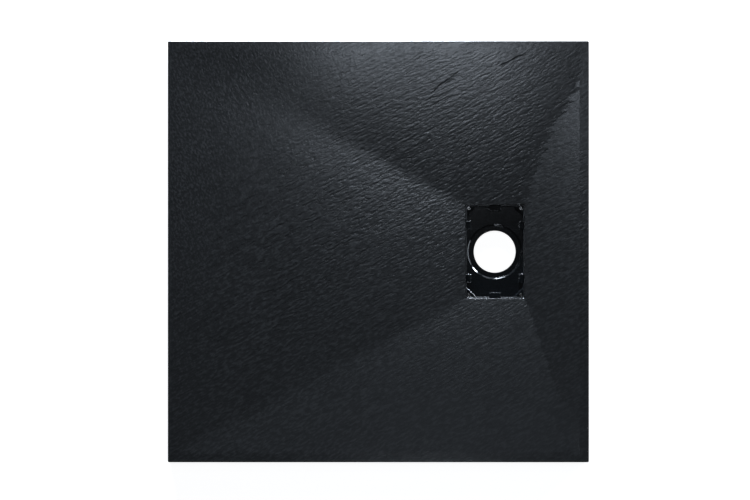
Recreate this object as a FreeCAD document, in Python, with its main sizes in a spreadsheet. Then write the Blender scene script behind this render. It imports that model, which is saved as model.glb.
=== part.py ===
"""A square shower tray with an off-centre waste: a cast stone-resin slab under a thin gel coat.

Its floor falls to a rectangular recess, open at the top. A moulded drain pan sits in the recess on a round
gasket, inside a rubber seal, and is held by four corner screws. The pan's round opening takes a waste.

Frame: millimetres, +Z up, origin at the centre of the underside. +X points to the waste's side of the tray.
The drain pan and what goes with it are drawn around the waste's axis, with z = 0 on the recess's ledge.
"""

import FreeCAD, Part
import math
import os

import Sketcher

OUT_DIR = "parts"

# Every driving size, in millimetres, in degrees or as a share. Levels are heights above the underside.
SIZES = {
    # the tray
    "tray_length": 900,
    "tray_width": 900,
    "tray_height": 40,
    "tray_corner_radius": 3,
    "top_edge_radius": 2,
    "rim_width": 20,
    "floor_fall": 13,
    "dish_run_on": 0.1,
    "gelcoat_thickness": 0.8,
    # the recess for the drain pan, and the ledges under it
    "drain_from_side": 200,
    "recess_width": 126,
    "recess_length": 200,
    "recess_corner_radius": 1.5,
    "recess_edge": 1.5,
    "ledge_level": 10,
    "seat_ledge_level": 6,
    # the pockets that lighten the underside
    "pocket_depth": 12,
    "pocket_corner_radius": 8,
    "pocket_widest": 90,
    "pocket_rib": 16,
    "pocket_border": 40,
    "pocket_to_recess": 15,
    # the drain pan
    "pan_clearance": 0.6,
    "pan_rim_drop": 1.5,
    "pan_wall": 1.8,
    "pan_wall_draft": 4,
    "pan_floor": 3,
    "pan_rim_round": 0.5,
    "waste_radius": 45,
    "seat_radius": 56,
    "seat_slope_width": 3,
    "seat_step": 2.5,
    "seat_thickness": 3,
    "seat_round": 1.5,
    "boss_radius": 60.5,
    "boss_clearance": 1,
    "neck_wall": 2.5,
    "neck_clearance": 0.8,
    "neck_end_level": 1,
    # what a drop-in cover rests on
    "cover_depth": 6,
    "support_round": 1.8,
    "corner_leg": 23.5,
    "side_pad_reach": 10.5,
    "side_pad_length": 19,
    "side_pad_spacing": 114,
    "end_pad_reach": 11.5,
    "end_pad_length": 25.5,
    # the seals
    "seal_height": 8,
    "gasket_inner_radius": 49.5,
    "gasket_clearance": 0.5,
    # the four corner screws, their washers and inserts
    "screw_inset": 6.6,
    "screw_length": 12,
    "shank_radius": 2,
    "head_radius": 3.8,
    "head_height": 2.6,
    "head_edge": 1,
    "cross_length": 4.4,
    "cross_width": 0.9,
    "cross_depth": 1.5,
    "counterbore_radius": 4.3,
    "counterbore_depth": 3.9,
    "shank_clearance": 0.25,
    "thread_clearance": 0.05,
    "washer_radius": 4.1,
    "washer_thickness": 0.8,
    "insert_radius": 3,
    "insert_length": 6,
    "insert_clearance": 0.05,
    "insert_groove": 0.4,
}

# Expressions that several pieces share.
DRAIN_X = "(Sizes.tray_length / 2 - Sizes.drain_from_side)"
FLOOR_LOW = "(Sizes.tray_height - Sizes.floor_fall)"
PAN_HALF_X = "(Sizes.recess_width / 2 - Sizes.pan_clearance)"
PAN_HALF_Y = "(Sizes.recess_length / 2 - Sizes.pan_clearance)"
PAN_HEIGHT = f"({FLOOR_LOW} - Sizes.pan_rim_drop - Sizes.ledge_level)"
SUPPORT = f"({FLOOR_LOW} - Sizes.cover_depth - Sizes.ledge_level)"
SEAT = "(Sizes.pan_floor - Sizes.seat_step)"
BOSS_UNDERSIDE = f"({SEAT} - Sizes.seat_thickness)"
NECK_RADIUS = "(Sizes.waste_radius + Sizes.neck_wall)"
HOLE_RADIUS = f"({NECK_RADIUS} + Sizes.neck_clearance)"
SCREW_X = f"({PAN_HALF_X} - Sizes.screw_inset)"
SCREW_Y = f"({PAN_HALF_Y} - Sizes.screw_inset)"
WASHER_FACE = f"({SUPPORT} - Sizes.counterbore_depth)"
HEAD_FACE = f"({WASHER_FACE} + Sizes.washer_thickness)"
SCREW_SIGNS = [(-1, -1), (1, -1), (1, 1), (-1, 1)]
TOLERANCE = 1e-3

doc = FreeCAD.newDocument("shower_tray")


def make_sheet():
    """The spreadsheet of driving sizes, one aliased cell each."""
    sheet = doc.addObject("Spreadsheet::Sheet", "Sizes")
    for row, (alias, size) in enumerate(SIZES.items(), start=1):
        sheet.set(f"A{row}", alias)
        sheet.set(f"B{row}", str(size))
        sheet.setAlias(f"B{row}", alias)
    doc.recompute()
    return sheet


sheet = make_sheet()


def number(expression):
    """What an expression over the sheet comes to, as a plain number."""
    found = sheet.evalExpression(expression)
    return float(getattr(found, "Value", found))


# Sketches and features ------------------------------------------------------------------------------------


def new_body(label):
    body = doc.addObject("PartDesign::Body", label)
    body.Label = label
    return body


def new_sketch(body, name, plane="XY_Plane", level="0"):
    """A sketch on one of its body's origin planes, lifted by level along that plane's normal."""
    sketch = body.newObject("Sketcher::SketchObject", name)
    origin_plane = next(f for f in body.Origin.OriginFeatures if f.Role == plane)
    sketch.AttachmentSupport = [(origin_plane, "")]
    sketch.MapMode = "FlatFace"
    sketch.setExpression("AttachmentOffset.Base.z", f"{level} * 1 mm")
    return sketch


def bind(sketch, constraint, expression):
    """Adds a dimension to a sketch and drives it by an expression."""
    index = sketch.addConstraint(constraint)
    sketch.setExpression(f"Constraints[{index}]", expression)


def place_point(sketch, geometry, point, x=None, y=None):
    """Dimensions a point's coordinates from the sketch's origin."""
    for kind, at in (("DistanceX", x), ("DistanceY", y)):
        if at is not None:
            start = number(at)
            bind(sketch, Sketcher.Constraint(kind, -1, 1, geometry, point, start), at)


def polygon(sketch, corners):
    """A closed outline of straight lines through corners, each a pair of expressions."""
    points = [FreeCAD.Vector(number(x), number(y), 0) for x, y in corners]
    count = len(corners)
    first = sketch.GeometryCount
    for i in range(count):
        sketch.addGeometry(Part.LineSegment(points[i], points[(i + 1) % count]), False)
    for i in range(count):
        after = first + (i + 1) % count
        sketch.addConstraint(Sketcher.Constraint("Coincident", first + i, 2, after, 1))
    for i, (x, y) in enumerate(corners):
        place_point(sketch, first + i, 1, x, y)


def rectangle(sketch, left, bottom, right, top):
    polygon(sketch, [(left, bottom), (right, bottom), (right, top), (left, top)])


def rounded_rectangle(sketch, left, bottom, right, top, radius):
    """A rectangle whose corners are arcs of one radius."""
    x0, y0, x1, y1, r = (number(e) for e in (left, bottom, right, top, radius))
    first = sketch.GeometryCount
    sides = [
        ((x0 + r, y0), (x1 - r, y0)),
        ((x1, y0 + r), (x1, y1 - r)),
        ((x1 - r, y1), (x0 + r, y1)),
        ((x0, y1 - r), (x0, y0 + r)),
    ]
    centres = [(x1 - r, y0 + r), (x1 - r, y1 - r), (x0 + r, y1 - r), (x0 + r, y0 + r)]
    for start, end in sides:
        line = Part.LineSegment(FreeCAD.Vector(*start, 0), FreeCAD.Vector(*end, 0))
        sketch.addGeometry(line, False)
    for i, centre in enumerate(centres):
        circle = Part.Circle(FreeCAD.Vector(*centre, 0), FreeCAD.Vector(0, 0, 1), r)
        turn = math.radians(-90 + 90 * i)
        sketch.addGeometry(Part.ArcOfCircle(circle, turn, turn + math.pi / 2), False)
    for i in range(4):
        arc, after = first + 4 + i, first + (i + 1) % 4
        sketch.addConstraint(Sketcher.Constraint("Tangent", first + i, 2, arc, 1))
        sketch.addConstraint(Sketcher.Constraint("Tangent", arc, 2, after, 1))
        kind = "Horizontal" if i % 2 == 0 else "Vertical"
        sketch.addConstraint(Sketcher.Constraint(kind, first + i))
        if i:
            sketch.addConstraint(Sketcher.Constraint("Equal", first + 4, arc))
    bind(sketch, Sketcher.Constraint("Radius", first + 4, r), radius)
    place_point(sketch, first, 1, y=bottom)
    place_point(sketch, first + 1, 1, x=right)
    place_point(sketch, first + 2, 1, y=top)
    place_point(sketch, first + 3, 1, x=left)


def circle(sketch, radius, x="0", y="0"):
    centre = FreeCAD.Vector(number(x), number(y), 0)
    index = sketch.addGeometry(
        Part.Circle(centre, FreeCAD.Vector(0, 0, 1), number(radius)), False
    )
    bind(sketch, Sketcher.Constraint("Radius", index, number(radius)), radius)
    place_point(sketch, index, 3, x, y)


def extrude(body, kind, name, sketch, length, draft=None, both_ways=False):
    """A Pad or a Pocket that goes up from its sketch, or half each way.

    A draft widens a pocket as it goes up.
    """
    before = body.Tip.Shape.Volume if body.Tip else 0
    feature = body.newObject(f"PartDesign::{kind}", name)
    feature.Profile = sketch
    feature.setExpression("Length", length)
    feature.Reversed = kind == "Pocket"
    if both_ways:
        feature.SideType = "Symmetric"
    if draft:
        feature.setExpression("TaperAngle", draft)
    finish(body, feature, before)
    return feature


def revolve(body, kind, name, sketch):
    """A full Revolution or Groove about the sketch's vertical axis."""
    before = body.Tip.Shape.Volume if body.Tip else 0
    feature = body.newObject(f"PartDesign::{kind}", name)
    feature.Profile = sketch
    feature.ReferenceAxis = (sketch, ["V_Axis"])
    feature.Angle = 360
    finish(body, feature, before)
    return feature


def finish(body, feature, before):
    """Recomputes, and stops if a feature neither adds nor removes material."""
    doc.recompute()
    if abs(feature.Shape.Volume - before) < TOLERANCE:
        raise RuntimeError(f"{feature.Name} in {body.Label} changes nothing")


def fillet(body, name, radius, wanted):
    """Rounds the edges of the body's latest feature for which wanted(edge) is true."""
    base = body.Tip
    names = [f"Edge{i}" for i, e in enumerate(base.Shape.Edges, 1) if wanted(e)]
    if not names:
        raise RuntimeError(f"{name} in {body.Label} found no edges")
    feature = body.newObject("PartDesign::Fillet", name)
    feature.Base = (base, names)
    feature.setExpression("Radius", radius)
    doc.recompute()
    return feature


def close(a, b):
    return abs(a - b) < TOLERANCE


def upright(edge):
    """True for a straight edge along Z."""
    ends = [v.Point for v in edge.Vertexes]
    return len(ends) == 2 and close(ends[0].x, ends[1].x) and close(ends[0].y, ends[1].y)


def at_level(edge, level):
    return close(edge.BoundBox.ZMin, level) and close(edge.BoundBox.ZMax, level)


def place(thing, x="0", y="0", z="0"):
    """Moves a finished piece; the coordinates are expressions."""
    for axis, at in zip("xyz", (x, y, z)):
        thing.setExpression(f".Placement.Base.{axis}", f"({at}) * 1 mm")


def place_at_drain(thing):
    place(thing, x=DRAIN_X, z="Sizes.ledge_level")


# The tray -------------------------------------------------------------------------------------------------


def slope_profile(body, name, plane, side, rim, low, skin):
    """A cross-section of the tray: flat underside, upright sides, rim, and a floor that falls both ways.

    side and rim are half widths, and low is the pair of places where the floor's slopes end.
    """
    sketch = new_sketch(body, name, plane=plane)
    top = f"(Sizes.tray_height - {skin})"
    bottom = f"({FLOOR_LOW} - Sizes.dish_run_on * Sizes.floor_fall - {skin})"
    outline = [(f"-{side}", "0"), (side, "0"), (side, top), (rim, top)]
    outline += [(low[1], bottom), (low[0], bottom), (f"-{rim}", top), (f"-{side}", top)]
    polygon(sketch, outline)
    return sketch


def dished_block(body, skin):
    """The slab with its hipped floor, as two crossed extrusions: each has two of the floor's four slopes.

    The slopes run on below the recess's edge by a share of their fall, so the recess cuts through them.
    """
    run_on = "Sizes.dish_run_on"
    sides = [f"(Sizes.tray_{size} / 2 - {skin})" for size in ("length", "width")]
    rims = [f"(Sizes.tray_{size} / 2 - Sizes.rim_width)" for size in ("length", "width")]
    left = f"({DRAIN_X} - Sizes.recess_width / 2)"
    right = f"({DRAIN_X} + Sizes.recess_width / 2)"
    end = "(Sizes.recess_length / 2)"
    low_end = f"({end} - {run_on} * ({rims[1]} - {end}))"
    lows = [
        (f"({left} + {run_on} * ({left} + {rims[0]}))", f"({right} - {run_on} * ({rims[0]} - {right}))"),
        (f"-{low_end}", low_end),
    ]
    for i, (name, plane) in enumerate([("length", "XZ_Plane"), ("width", "YZ_Plane")]):
        sketch = slope_profile(body, f"{name}_profile", plane, sides[i], rims[i], lows[i], skin)
        extrude(body, "Pad", f"{name}_slopes", sketch, f"2 * {sides[1 - i]}", both_ways=True)


def screw_points():
    """The four screws' places in the tray's own plan, as pairs of expressions."""
    return [(f"{DRAIN_X} + {sx} * {SCREW_X}", f"{sy} * {SCREW_Y}") for sx, sy in SCREW_SIGNS]


def mould_side(label, skin):
    """The tray's upper form, set back by skin, an expression: 0 gives the gel coat's own surface."""
    body = new_body(label)
    dished_block(body, skin)
    fillet(body, "corner_round", f"Sizes.tray_corner_radius - {skin}", upright)
    top = number(f"Sizes.tray_height - {skin}")
    mid_rim_x = number("Sizes.tray_length / 2 - Sizes.rim_width / 2")
    mid_rim_y = number("Sizes.tray_width / 2 - Sizes.rim_width / 2")

    def outer_edge(edge):
        middle = edge.BoundBox.Center
        return at_level(edge, top) and (abs(middle.x) > mid_rim_x or abs(middle.y) > mid_rim_y)

    fillet(body, "top_edge_round", f"Sizes.top_edge_radius - {skin}", outer_edge)

    # The recess's edge is broken at 45 degrees, and an offset 45-degree face meets its wall a little lower.
    recess = new_sketch(body, "recess_plan", level=f"(Sizes.ledge_level - {skin})")
    edge_level = f"({FLOOR_LOW} - Sizes.recess_edge - {skin} * (sqrt(2) - 1))"
    edge = new_sketch(body, "recess_edge_plan", level=edge_level)
    reach_x = f"(Sizes.recess_width / 2 + {skin})"
    reach_y = f"(Sizes.recess_length / 2 + {skin})"
    for sketch in (recess, edge):
        rounded_rectangle(
            sketch,
            f"{DRAIN_X} - {reach_x}",
            f"-{reach_y}",
            f"{DRAIN_X} + {reach_x}",
            reach_y,
            f"Sizes.recess_corner_radius + {skin}",
        )
    extrude(body, "Pocket", "recess", recess, "Sizes.tray_height")
    extrude(body, "Pocket", "recess_edge", edge, "5 * Sizes.recess_edge", "45")

    seat = new_sketch(body, "seat_plan", level=f"(Sizes.seat_ledge_level - {skin})")
    circle(seat, f"Sizes.boss_radius + Sizes.boss_clearance + {skin}", x=DRAIN_X)
    extrude(body, "Pocket", "seat_ledge", seat, "Sizes.ledge_level")

    hole = new_sketch(body, "hole_plan")
    circle(hole, f"{HOLE_RADIUS} + {skin}", x=DRAIN_X)
    extrude(body, "Pocket", "waste_opening", hole, "Sizes.ledge_level")

    anchors = new_sketch(body, "insert_plan", level="(Sizes.ledge_level - Sizes.insert_length)")
    for x, y in screw_points():
        circle(anchors, "Sizes.insert_radius + Sizes.insert_clearance", x, y)
    extrude(body, "Pocket", "insert_holes", anchors, "Sizes.insert_length")
    return body


def pocket_block(body, name, left, bottom, right, top):
    """Fills a rectangle of the underside with a grid of equal pockets, none wider than pocket_widest."""
    pitch = "(Sizes.pocket_widest + Sizes.pocket_rib)"
    spans = [f"({right} - ({left}) + Sizes.pocket_rib)", f"({top} - ({bottom}) + Sizes.pocket_rib)"]
    counts = [f"ceil({span} / {pitch})" for span in spans]
    steps = [f"({span} / {count})" for span, count in zip(spans, counts)]
    cell = new_sketch(body, f"{name}_cell")
    rounded_rectangle(
        cell,
        left,
        bottom,
        f"{left} + {steps[0]} - Sizes.pocket_rib",
        f"{bottom} + {steps[1]} - Sizes.pocket_rib",
        "Sizes.pocket_corner_radius",
    )
    pocket = extrude(body, "Pocket", name, cell, "Sizes.pocket_depth")
    before = body.Tip.Shape.Volume
    grid = body.newObject("PartDesign::MultiTransform", f"{name}_grid")
    grid.Originals = [pocket]
    rows = []
    for axis, count, step in zip(("H_Axis", "V_Axis"), counts, steps):
        row = body.newObject("PartDesign::LinearPattern", f"{name}_{axis[0]}")
        row.Direction = (cell, [axis])
        row.setExpression("Occurrences", count)
        row.setExpression("Length", f"{step} * ({count} - 1)")
        rows.append(row)
    grid.Transformations = rows
    body.Tip = grid
    finish(body, grid, before)


def make_stone_core():
    """The cast body: the upper form inside the gel coat, with the underside pockets."""
    body = mould_side("stone_core", "Sizes.gelcoat_thickness")
    west = "(-Sizes.tray_length / 2 + Sizes.pocket_border)"
    east = "(Sizes.tray_length / 2 - Sizes.pocket_border)"
    north = "(Sizes.tray_width / 2 - Sizes.pocket_border)"
    recess_west = f"({DRAIN_X} - Sizes.recess_width / 2 - Sizes.pocket_to_recess)"
    recess_north = "(Sizes.recess_length / 2 + Sizes.pocket_to_recess)"
    past_west_block = f"({recess_west} + Sizes.pocket_rib)"
    pocket_block(body, "west_pocket", west, f"-{north}", recess_west, north)
    pocket_block(body, "north_pocket", past_west_block, recess_north, east, north)
    pocket_block(body, "south_pocket", past_west_block, f"-{north}", east, f"-{recess_north}")
    return body


def make_gelcoat():
    """The gel coat: what lies between the tray's finished surface and the core's upper form."""
    outer = mould_side("tray_surface", "0")
    inner = mould_side("core_surface", "Sizes.gelcoat_thickness")
    skin = doc.addObject("Part::Cut", "gelcoat_skin")
    skin.Label = "gelcoat_skin"
    skin.Base = outer
    skin.Tool = inner
    doc.recompute()
    return skin


# The drain pan --------------------------------------------------------------------------------------------


def support_outlines(sketch):
    """The tops that the cover rests on: four corner triangles, four side pads and two end pads."""
    wall_x = f"({PAN_HALF_X} - Sizes.pan_wall / 2)"
    wall_y = f"({PAN_HALF_Y} - Sizes.pan_wall / 2)"
    for sx, sy in SCREW_SIGNS:
        corners = [
            (f"{sx} * {wall_x}", f"{sy} * {wall_y}"),
            (f"{sx} * ({wall_x} - Sizes.corner_leg)", f"{sy} * {wall_y}"),
            (f"{sx} * {wall_x}", f"{sy} * ({wall_y} - Sizes.corner_leg)"),
        ]
        polygon(sketch, corners)
    for sx, sy in SCREW_SIGNS:
        near = f"{sx} * {wall_x}"
        far = f"{sx} * ({wall_x} - Sizes.side_pad_reach)"
        middle = f"{sy} * Sizes.side_pad_spacing / 2"
        low, high = f"{middle} - Sizes.side_pad_length / 2", f"{middle} + Sizes.side_pad_length / 2"
        rectangle(sketch, near, low, far, high)
    for sy in (-1, 1):
        near = f"{sy} * {wall_y}"
        far = f"{sy} * ({wall_y} - Sizes.end_pad_reach)"
        rectangle(sketch, "-Sizes.end_pad_length / 2", near, "Sizes.end_pad_length / 2", far)


def notch_outlines(sketch):
    """Where the pan's wall is cut down to the pads' height, as wide as each pad."""
    for sx, sy in SCREW_SIGNS:
        outside = f"{sx} * ({PAN_HALF_X} + Sizes.pan_clearance)"
        inside = f"{sx} * ({PAN_HALF_X} - 2 * Sizes.pan_wall)"
        middle = f"{sy} * Sizes.side_pad_spacing / 2"
        low, high = f"{middle} - Sizes.side_pad_length / 2", f"{middle} + Sizes.side_pad_length / 2"
        rectangle(sketch, outside, low, inside, high)
    for sy in (-1, 1):
        outside = f"{sy} * ({PAN_HALF_Y} + Sizes.pan_clearance)"
        inside = f"{sy} * ({PAN_HALF_Y} - 2 * Sizes.pan_wall)"
        rectangle(sketch, "-Sizes.end_pad_length / 2", outside, "Sizes.end_pad_length / 2", inside)


def make_drain_pan():
    """The moulded pan: drafted walls, cover supports, a round seat for the waste's flange, and a neck."""
    body = new_body("drain_pan")
    outline = new_sketch(body, "outline")
    rounded_rectangle(
        outline,
        f"-{PAN_HALF_X}",
        f"-{PAN_HALF_Y}",
        PAN_HALF_X,
        PAN_HALF_Y,
        "max(Sizes.recess_corner_radius - Sizes.pan_clearance; 0.2)",
    )
    extrude(body, "Pad", "blank", outline, PAN_HEIGHT)

    # The inside is cut from the floor up, so its outline there is the rim's less the draft.
    lean = f"(({PAN_HEIGHT} - Sizes.pan_floor) * tan(Sizes.pan_wall_draft * 1 deg))"
    inside = new_sketch(body, "inside_outline", level="Sizes.pan_floor")
    half_x = f"({PAN_HALF_X} - Sizes.pan_wall - {lean})"
    half_y = f"({PAN_HALF_Y} - Sizes.pan_wall - {lean})"
    rectangle(inside, f"-{half_x}", f"-{half_y}", half_x, half_y)
    depth = f"{PAN_HEIGHT} - Sizes.pan_floor"
    extrude(body, "Pocket", "inside", inside, depth, "Sizes.pan_wall_draft")

    neck_end = "(Sizes.neck_end_level - Sizes.ledge_level)"
    boss = new_sketch(body, "boss_profile", plane="XZ_Plane")
    polygon(
        boss,
        [
            ("Sizes.waste_radius - Sizes.neck_wall", neck_end),
            (NECK_RADIUS, neck_end),
            (NECK_RADIUS, BOSS_UNDERSIDE),
            ("Sizes.boss_radius", BOSS_UNDERSIDE),
            ("Sizes.boss_radius", "Sizes.pan_floor / 2"),
            ("Sizes.waste_radius - Sizes.neck_wall", "Sizes.pan_floor / 2"),
        ],
    )
    revolve(body, "Revolution", "boss_and_neck", boss)

    seat = new_sketch(body, "seat_profile", plane="XZ_Plane")
    polygon(
        seat,
        [
            ("0", f"{neck_end} - Sizes.neck_wall"),
            ("Sizes.waste_radius", f"{neck_end} - Sizes.neck_wall"),
            ("Sizes.waste_radius", SEAT),
            ("Sizes.seat_radius", SEAT),
            ("Sizes.seat_radius + Sizes.seat_slope_width", "Sizes.pan_floor"),
            ("0", "Sizes.pan_floor"),
        ],
    )
    revolve(body, "Groove", "seat_and_bore", seat)

    round_seat(body)

    supports = new_sketch(body, "support_plan", level="Sizes.pan_floor")
    support_outlines(supports)
    extrude(body, "Pad", "supports", supports, f"{SUPPORT} - Sizes.pan_floor")

    round_supports(body)
    top = number(PAN_HEIGHT)
    fillet(body, "rim_round", "Sizes.pan_rim_round", lambda e: at_level(e, top))
    notches = new_sketch(body, "notch_plan", level=SUPPORT)
    notch_outlines(notches)
    extrude(body, "Pocket", "rim_notches", notches, PAN_HEIGHT)

    holes = new_sketch(body, "screw_hole_plan")
    bores = new_sketch(body, "counterbore_plan", level=WASHER_FACE)
    for sx, sy in SCREW_SIGNS:
        x, y = f"{sx} * {SCREW_X}", f"{sy} * {SCREW_Y}"
        circle(holes, "Sizes.shank_radius + Sizes.shank_clearance", x, y)
        circle(bores, "Sizes.counterbore_radius", x, y)
    extrude(body, "Pocket", "screw_holes", holes, SUPPORT)
    extrude(body, "Pocket", "counterbores", bores, "Sizes.counterbore_depth")
    place_at_drain(body)
    return body


def round_supports(body):
    """Rounds the straight top edges of the supports that stand clear of the wall."""
    support = number(SUPPORT)
    wall_there = f"(Sizes.pan_wall + ({PAN_HEIGHT} - {SUPPORT}) * tan(Sizes.pan_wall_draft * 1 deg))"
    inner_x = number(f"{PAN_HALF_X} - {wall_there}") - TOLERANCE
    inner_y = number(f"{PAN_HALF_Y} - {wall_there}") - TOLERANCE

    def clear_of_wall(edge):
        middle = edge.BoundBox.Center
        return at_level(edge, support) and abs(middle.x) < inner_x and abs(middle.y) < inner_y

    fillet(body, "support_round", "Sizes.support_round", clear_of_wall)


def round_seat(body):
    """Rounds the rim and the root of the step down to the waste's seat."""

    def on_circle(edge, radius, level):
        flat = at_level(edge, number(level)) and isinstance(edge.Curve, Part.Circle)
        return flat and close(edge.Curve.Radius, number(radius))

    rim = "(Sizes.seat_radius + Sizes.seat_slope_width)"
    fillet(body, "seat_rim_round", "Sizes.seat_round", lambda e: on_circle(e, rim, "Sizes.pan_floor"))
    fillet(body, "seat_root_round", "Sizes.seat_round", lambda e: on_circle(e, "Sizes.seat_radius", SEAT))


# Seals, screws, washers and inserts -----------------------------------------------------------------------


def make_perimeter_seal():
    """The rubber strip in the gap between the pan's wall and the recess."""
    body = new_body("perimeter_seal")
    plan = new_sketch(body, "ring_plan")
    half_x, half_y = "(Sizes.recess_width / 2)", "(Sizes.recess_length / 2)"
    outer = (f"-{half_x}", f"-{half_y}", half_x, half_y)
    inner = (f"-{PAN_HALF_X}", f"-{PAN_HALF_Y}", PAN_HALF_X, PAN_HALF_Y)
    rounded_rectangle(plan, *outer, "Sizes.recess_corner_radius")
    rounded_rectangle(plan, *inner, "max(Sizes.recess_corner_radius - Sizes.pan_clearance; 0.2)")
    extrude(body, "Pad", "ring", plan, "Sizes.seal_height")
    place_at_drain(body)
    return body


def make_seat_gasket():
    """The round gasket that the pan's boss presses on the tray's lower ledge."""
    body = new_body("seat_gasket")
    level = "(Sizes.seat_ledge_level - Sizes.ledge_level)"
    plan = new_sketch(body, "ring_plan", level=level)
    circle(plan, "Sizes.boss_radius - Sizes.gasket_clearance")
    circle(plan, "Sizes.gasket_inner_radius")
    extrude(body, "Pad", "ring", plan, f"{BOSS_UNDERSIDE} - {level}")
    place_at_drain(body)
    return body


def make_screw():
    """One pan-head screw with a cross recess, its head's underside at z = 0."""
    body = new_body("screw")
    profile = new_sketch(body, "profile", plane="XZ_Plane")
    polygon(
        profile,
        [
            ("0", "-Sizes.screw_length"),
            ("Sizes.shank_radius * 0.7", "-Sizes.screw_length"),
            ("Sizes.shank_radius", "-Sizes.screw_length + Sizes.shank_radius * 0.3"),
            ("Sizes.shank_radius", "0"),
            ("Sizes.head_radius", "0"),
            ("Sizes.head_radius", "Sizes.head_height"),
            ("0", "Sizes.head_height"),
        ],
    )
    revolve(body, "Revolution", "turned", profile)
    top = number("Sizes.head_height")
    fillet(body, "head_round", "Sizes.head_edge", lambda e: at_level(e, top))
    cross = new_sketch(body, "cross_plan", level="(Sizes.head_height - Sizes.cross_depth)")
    half_l, half_w = "(Sizes.cross_length / 2)", "(Sizes.cross_width / 2)"
    arms = [(half_l, half_w), (half_w, half_w), (half_w, half_l)]
    quarter = [(x, y) for x, y in arms]
    corners = list(quarter)
    corners += [(f"-{x}", y) for x, y in reversed(quarter)]
    corners += [(f"-{x}", f"-{y}") for x, y in quarter]
    corners += [(x, f"-{y}") for x, y in reversed(quarter)]
    polygon(cross, corners)
    extrude(body, "Pocket", "cross_recess", cross, "Sizes.cross_depth")
    return body


def make_washer():
    """One flat sealing washer, its lower face at z = 0."""
    body = new_body("washer")
    plan = new_sketch(body, "ring_plan")
    circle(plan, "Sizes.washer_radius")
    circle(plan, "Sizes.shank_radius + Sizes.shank_clearance")
    extrude(body, "Pad", "ring", plan, "Sizes.washer_thickness")
    return body


def make_insert():
    """One threaded insert with two grip grooves, its top at z = 0."""
    body = new_body("insert")
    profile = new_sketch(body, "profile", plane="XZ_Plane")
    waist = "(Sizes.insert_radius - Sizes.insert_groove)"
    bore = "(Sizes.shank_radius + Sizes.thread_clearance)"
    levels = [f"(-Sizes.insert_length * {k} / 5)" for k in range(6)]
    outside = [("Sizes.insert_radius", levels[0])]
    for band in range(1, 5):
        first, then = ("Sizes.insert_radius", waist) if band % 2 else (waist, "Sizes.insert_radius")
        outside += [(first, levels[band]), (then, levels[band])]
    outside.append(("Sizes.insert_radius", levels[5]))
    polygon(profile, [(bore, levels[5]), (bore, levels[0])] + outside)
    revolve(body, "Revolution", "turned", profile)
    return body


def four_of(label, master, z):
    """Four copies of a master piece at the screws' places, as one node of separate solids."""
    place(master, SCREW_X, SCREW_Y, z)
    pieces = [master]
    for axis, normal in (("x", (1, 0, 0)), ("y", (0, 1, 0))):
        for source in list(pieces):
            mirrored = doc.addObject("Part::Mirroring", f"{label}_{axis}{len(pieces)}")
            mirrored.Source = source
            mirrored.Normal = FreeCAD.Vector(*normal)
            pieces.append(mirrored)
    group = doc.addObject("Part::Compound", label)
    group.Label = label
    group.Links = pieces
    place_at_drain(group)
    return group


# Everything -----------------------------------------------------------------------------------------------


def build_parts():
    return [
        make_stone_core(),
        make_gelcoat(),
        make_drain_pan(),
        make_perimeter_seal(),
        make_seat_gasket(),
        four_of("corner_screws", make_screw(), HEAD_FACE),
        four_of("screw_washers", make_washer(), WASHER_FACE),
        four_of("screw_inserts", make_insert(), "0"),
    ]


def check(parts):
    """Stops unless every object computed and every part is a valid closed shape."""
    for thing in doc.Objects:
        if {"Invalid", "Error"} & set(thing.State):
            raise RuntimeError(f"{thing.Name} failed: {thing.State}")
    for part in parts:
        shape = part.Shape
        if shape.isNull() or not shape.isValid() or not shape.Solids:
            raise RuntimeError(f"{part.Label} has no valid solid")


parts = build_parts()
doc.recompute()
check(parts)
os.makedirs(OUT_DIR, exist_ok=True)
for part in parts:
    part.Shape.exportStep(os.path.join(OUT_DIR, f"{part.Label}.step"))
    box = part.Shape.BoundBox
    print(
        f"{part.Label}: {len(part.Shape.Solids)} solids, {part.Shape.Volume / 1000:.2f} cm3, "
        f"z {box.ZMin:.2f} to {box.ZMax:.2f}"
    )
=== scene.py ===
"""The shower tray's look: slate relief on the gel coat, gloss on the drain pan, and the cast stone below.

Metres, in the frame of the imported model: +Z up, origin at the centre of the underside, +X towards the waste.
Sizes come from the frame's own boxes, so the pieces follow the CAD model. North is +Y and east is +X.
"""

import itertools
import math
from types import SimpleNamespace

import bpy
import numpy as np
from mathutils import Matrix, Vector


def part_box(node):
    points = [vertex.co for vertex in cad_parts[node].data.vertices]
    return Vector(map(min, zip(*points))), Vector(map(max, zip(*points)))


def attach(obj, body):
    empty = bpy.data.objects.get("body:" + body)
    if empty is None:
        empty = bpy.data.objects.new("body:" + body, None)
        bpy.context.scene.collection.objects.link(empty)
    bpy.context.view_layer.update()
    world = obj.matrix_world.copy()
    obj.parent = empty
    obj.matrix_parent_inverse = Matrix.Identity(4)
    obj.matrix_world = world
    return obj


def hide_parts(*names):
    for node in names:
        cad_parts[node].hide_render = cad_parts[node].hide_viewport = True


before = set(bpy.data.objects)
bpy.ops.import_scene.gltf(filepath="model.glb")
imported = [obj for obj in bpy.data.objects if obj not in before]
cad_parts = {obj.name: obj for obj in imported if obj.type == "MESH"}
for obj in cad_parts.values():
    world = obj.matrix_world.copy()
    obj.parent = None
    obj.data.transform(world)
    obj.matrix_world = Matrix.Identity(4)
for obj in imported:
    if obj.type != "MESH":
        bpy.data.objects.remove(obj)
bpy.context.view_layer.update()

MM = 0.001

# What the frame gives --------------------------------------------------------------------------------------

skin_lo, skin_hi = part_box("gelcoat_skin")
core_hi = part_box("stone_core")[1]
pan_lo, pan_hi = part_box("drain_pan")

HALF = skin_hi.x  # half the tray's side
TOP = skin_hi.z
COAT = skin_hi.x - core_hi.x  # the gel coat's thickness
DRAIN = Vector(((pan_lo.x + pan_hi.x) / 2, (pan_lo.y + pan_hi.y) / 2))

# The tray's form, as in the CAD source ---------------------------------------------------------------------

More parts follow.
